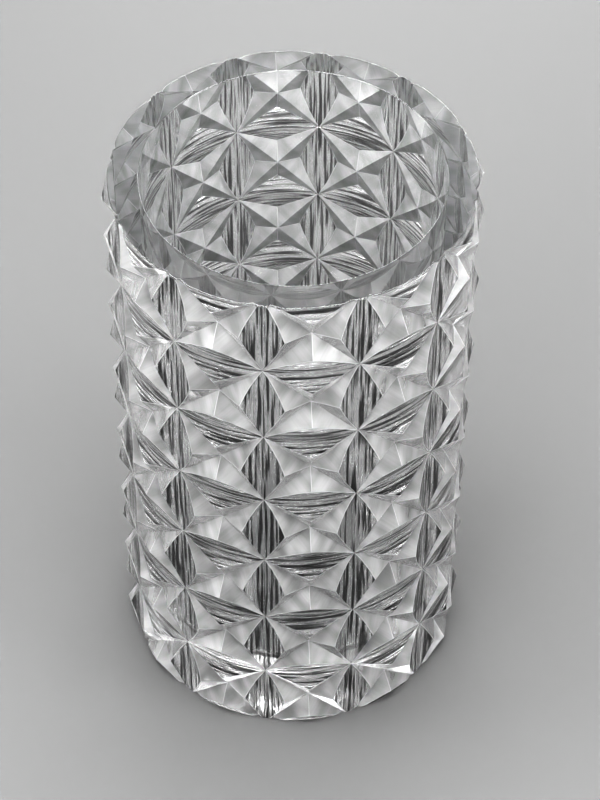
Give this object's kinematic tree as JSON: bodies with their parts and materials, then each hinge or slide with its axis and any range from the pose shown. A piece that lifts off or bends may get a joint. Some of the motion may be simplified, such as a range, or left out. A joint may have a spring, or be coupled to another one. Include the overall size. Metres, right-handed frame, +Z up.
{
  "type": "cut crystal vase",
  "caption": "Tall straight cylinder vase of thick clear crystal, cut all over with crossing V grooves and round flutes, with a smooth bore and a heavy solid foot.",
  "frame": {"origin": "centre of the flat underside, on the surface the vase stands on", "axes": "+Z up along the bore axis; -Y through a column line of the cut pattern"},
  "size_m": [0.141, 0.141, 0.25],
  "materials": {
    "crystal": "polished, with satin-ground groove walls"
  },
  "bodies": {
    "root": {"vase_body": "crystal"}
  },
  "joints": []
}
